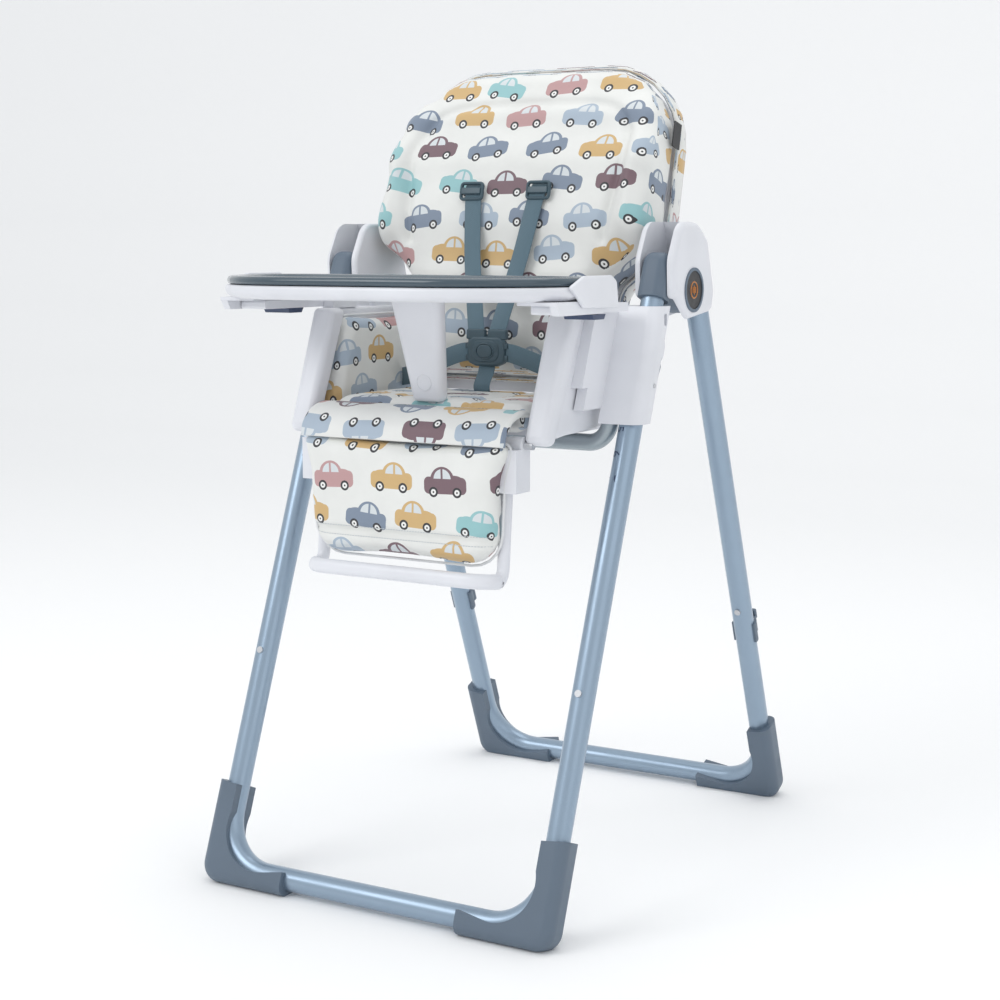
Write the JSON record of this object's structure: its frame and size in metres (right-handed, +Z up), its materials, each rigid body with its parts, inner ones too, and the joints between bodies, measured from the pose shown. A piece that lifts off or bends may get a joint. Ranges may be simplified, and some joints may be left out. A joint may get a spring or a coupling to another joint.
{
  "type": "baby high chair",
  "caption": "Folding baby high chair with a padded reclining seat on two U-shaped tube legs, a deep tray with lift-out insert, harness, calf rest and sliding footrest.",
  "frame": {"origin": "on the floor, under the middle of the whole chair's box", "axes": "+Z up, +X to the child's left, the child faces -Y"},
  "size_m": [0.544, 0.8022, 1.0896],
  "materials": {
    "white_plastic": "satin, moulded",
    "slate_plastic": "fine texture",
    "blue_tube": "metallic satin paint",
    "grey_tube": "satin paint",
    "steel": "zinc plated",
    "printed_fabric": "coated printed fabric",
    "webbing": "woven webbing",
    "buckle_plastic": "satin",
    "tray_plastic": "glossy",
    "navy_plastic": "satin",
    "black_plastic": "matt"
  },
  "bodies": {
    "frame": {"front_base_tube": "blue_tube", "front_leg_tube_left": "blue_tube", "front_leg_tube_right": "blue_tube", "front_boot_left": "slate_plastic", "front_boot_right": "slate_plastic", "front_snap_buttons": "steel", "front_hub_left": "slate_plastic", "front_hub_right": "slate_plastic", "pivot_pins": "steel"},
    "rear_frame": {"rear_base_tube": "blue_tube", "rear_leg_tube_left": "blue_tube", "rear_leg_tube_right": "blue_tube", "rear_boot_left": "slate_plastic", "rear_boot_right": "slate_plastic", "rear_snap_buttons": "steel", "hub_cover_left": "white_plastic", "hub_cover_right": "white_plastic", "badge_rings": "slate_plastic", "badge_discs": "black_plastic", "tray_hooks": "slate_plastic"},
    "seat": {"carrier_left": "white_plastic", "carrier_right": "white_plastic", "side_shell_left": "white_plastic", "side_shell_right": "white_plastic", "arm_rail_left": "white_plastic", "arm_rail_right": "white_plastic", "seat_pan": "white_plastic", "seat_pad": "printed_fabric", "side_pad_left": "printed_fabric", "side_pad_right": "printed_fabric", "under_seat_tube": "grey_tube", "buckle": "buckle_plastic", "crotch_strap": "webbing", "lap_strap_left": "webbing", "lap_strap_right": "webbing", "carrier_screws": "steel", "lever_pins": "steel"},
    "height_lever_left": {"height_lever_left": "slate_plastic"},
    "height_lever_right": {"height_lever_right": "slate_plastic"},
    "backrest": {"back_pad": "printed_fabric", "back_shell": "white_plastic", "recline_pins": "steel", "shoulder_strap_left": "webbing", "shoulder_strap_right": "webbing", "strap_adjusters": "buckle_plastic", "side_tag": "black_plastic"},
    "recline_handle": {"recline_handle": "slate_plastic"},
    "calf_rest": {"calf_pad": "printed_fabric", "calf_board": "white_plastic", "calf_knuckles": "white_plastic", "calf_pins": "steel"},
    "footrest": {"footrest": "white_plastic"},
    "tray": {"tray_base": "white_plastic", "crotch_post": "white_plastic", "tray_arm_left": "white_plastic", "tray_arm_right": "white_plastic"},
    "tray_insert": {"tray_insert": "tray_plastic"},
    "tray_lever_left": {"tray_lever_left": "navy_plastic"},
    "tray_lever_right": {"tray_lever_right": "navy_plastic"},
    "buckle_button": {"buckle_button": "buckle_plastic"}
  },
  "joints": [
    {"name": "fold", "type": "hinge", "parent": "frame", "child": "rear_frame", "pos_m": [0, 0.01086, 0.78], "axis": [-1, 0, 0], "range_deg": [0, 42]},
    {"name": "seat_height", "type": "slide", "parent": "frame", "child": "seat", "axis": [0, -0.3593, -0.9332], "range_m": [0, 0.2]},
    {"name": "height_lever_left_squeeze", "type": "hinge", "parent": "seat", "child": "height_lever_left", "pos_m": [0.243, -0.0528, 0.694], "axis": [-1, 0, 0], "range_deg": [0, 8], "stiffness_Nm_per_rad": 1},
    {"name": "height_lever_right_squeeze", "type": "hinge", "parent": "seat", "child": "height_lever_right", "pos_m": [-0.243, -0.0528, 0.694], "axis": [-1, 0, 0], "range_deg": [0, 8], "stiffness_Nm_per_rad": 1},
    {"name": "recline", "type": "hinge", "parent": "seat", "child": "backrest", "pos_m": [0, 0.0285, 0.64185], "axis": [-1, 0, 0], "range_deg": [0, 31]},
    {"name": "recline_release", "type": "slide", "parent": "backrest", "child": "recline_handle", "axis": [0, 0.225, 0.9744], "range_m": [0, 0.008], "stiffness_N_per_m": 500},
    {"name": "calf_swing", "type": "hinge", "parent": "seat", "child": "calf_rest", "pos_m": [0, -0.24114, 0.594], "axis": [-1, 0, 0], "range_deg": [0, 70]},
    {"name": "footrest_slide", "type": "slide", "parent": "calf_rest", "child": "footrest", "axis": [0, -0.0872, -0.9962], "range_m": [0, 0.04]},
    {"name": "tray_depth", "type": "slide", "parent": "seat", "child": "tray", "axis": [0, -1, 0], "range_m": [0, 0.075]},
    {"name": "tray_insert_lift", "type": "slide", "parent": "tray", "child": "tray_insert", "axis": [0, 0, 1], "range_m": [0, 0.06]},
    {"name": "tray_lever_left_pull", "type": "slide", "parent": "tray", "child": "tray_lever_left", "axis": [-1, 0, 0], "range_m": [0, 0.004], "stiffness_N_per_m": 600},
    {"name": "tray_lever_right_pull", "type": "slide", "parent": "tray", "child": "tray_lever_right", "axis": [1, 0, 0], "range_m": [0, 0.004], "stiffness_N_per_m": 600},
    {"name": "buckle_press", "type": "slide", "parent": "seat", "child": "buckle_button", "axis": [0, 1, 0], "range_m": [0, 0.003], "stiffness_N_per_m": 500}
  ]
}
